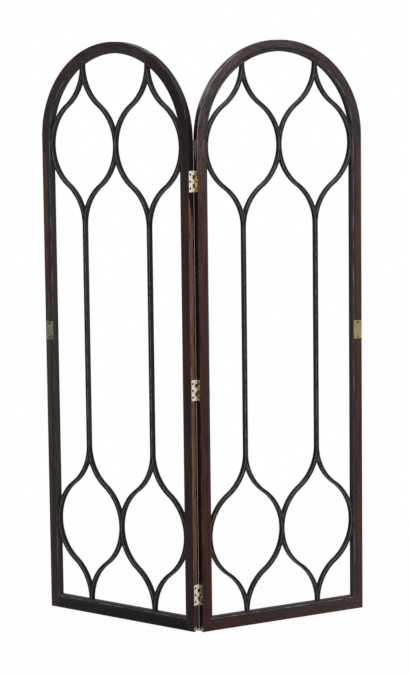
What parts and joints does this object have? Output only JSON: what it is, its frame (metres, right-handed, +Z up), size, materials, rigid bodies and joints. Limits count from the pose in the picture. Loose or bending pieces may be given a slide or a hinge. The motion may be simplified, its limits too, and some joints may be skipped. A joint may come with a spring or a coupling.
{
  "type": "folding draft screen",
  "caption": "Free-standing folding screen of hinged arched leaves with open Gothic ogee tracery in dark mahogany frames, to shield a seat from draughts.",
  "frame": {"origin": "on the floor, at the middle of the screen's box as it stands in the picture", "axes": "+Z up, -Y towards the viewer, where the hinge line stands; the leaves run back to both sides, +X to the right leaf"},
  "size_m": [1.001, 0.3476, 1.8],
  "materials": {
    "frame_wood": "French-polished dark mahogany, worn",
    "lining_wood": "dark polished mahogany",
    "tracery_wood": "near-black polished mahogany",
    "key_wood": "bare wood inside the joints",
    "hinge_brass": "aged brass",
    "pin_brass": "dull brass",
    "plate_brass": "tarnished brass",
    "screw_brass": "dark brass"
  },
  "bodies": {
    "left_leaf": {"hinge_1_left_flap": "hinge_brass", "hinge_1_pin": "pin_brass", "hinge_2_left_flap": "hinge_brass", "hinge_2_pin": "pin_brass", "hinge_3_left_flap": "hinge_brass", "hinge_3_pin": "pin_brass", "left_arch_crown": "frame_wood", "left_arch_hinge_haunch": "frame_wood", "left_arch_keys": "key_wood", "left_arch_lining": "lining_wood", "left_arch_outer_haunch": "frame_wood", "left_bottom_lining": "lining_wood", "left_bottom_rail": "frame_wood", "left_cover_plate": "plate_brass", "left_cover_plate_screws": "screw_brass", "left_hinge_lining": "lining_wood", "left_hinge_mullion": "tracery_wood", "left_hinge_screws": "screw_brass", "left_hinge_stile": "frame_wood", "left_lower_hinge_centre_ogee": "tracery_wood", "left_lower_hinge_edge_ogee": "tracery_wood", "left_lower_outer_centre_ogee": "tracery_wood", "left_lower_outer_edge_ogee": "tracery_wood", "left_outer_lining": "lining_wood", "left_outer_mullion": "tracery_wood", "left_outer_stile": "frame_wood", "left_upper_hinge_centre_ogee": "tracery_wood", "left_upper_hinge_edge_ogee": "tracery_wood", "left_upper_outer_centre_ogee": "tracery_wood", "left_upper_outer_edge_ogee": "tracery_wood"},
    "right_leaf": {"hinge_1_right_flap": "hinge_brass", "hinge_2_right_flap": "hinge_brass", "hinge_3_right_flap": "hinge_brass", "right_arch_crown": "frame_wood", "right_arch_hinge_haunch": "frame_wood", "right_arch_keys": "key_wood", "right_arch_lining": "lining_wood", "right_arch_outer_haunch": "frame_wood", "right_bottom_lining": "lining_wood", "right_bottom_rail": "frame_wood", "right_cover_plate": "plate_brass", "right_cover_plate_screws": "screw_brass", "right_hinge_lining": "lining_wood", "right_hinge_mullion": "tracery_wood", "right_hinge_screws": "screw_brass", "right_hinge_stile": "frame_wood", "right_lower_hinge_centre_ogee": "tracery_wood", "right_lower_hinge_edge_ogee": "tracery_wood", "right_lower_outer_centre_ogee": "tracery_wood", "right_lower_outer_edge_ogee": "tracery_wood", "right_outer_lining": "lining_wood", "right_outer_mullion": "tracery_wood", "right_outer_stile": "frame_wood", "right_upper_hinge_centre_ogee": "tracery_wood", "right_upper_hinge_edge_ogee": "tracery_wood", "right_upper_outer_centre_ogee": "tracery_wood", "right_upper_outer_edge_ogee": "tracery_wood"}
  },
  "joints": [
    {"name": "leaf_fold", "type": "hinge", "parent": "left_leaf", "child": "right_leaf", "pos_m": [0, -0.15443, 0.75], "axis": [0, 0, 1], "range_deg": [-68, 112]}
  ]
}
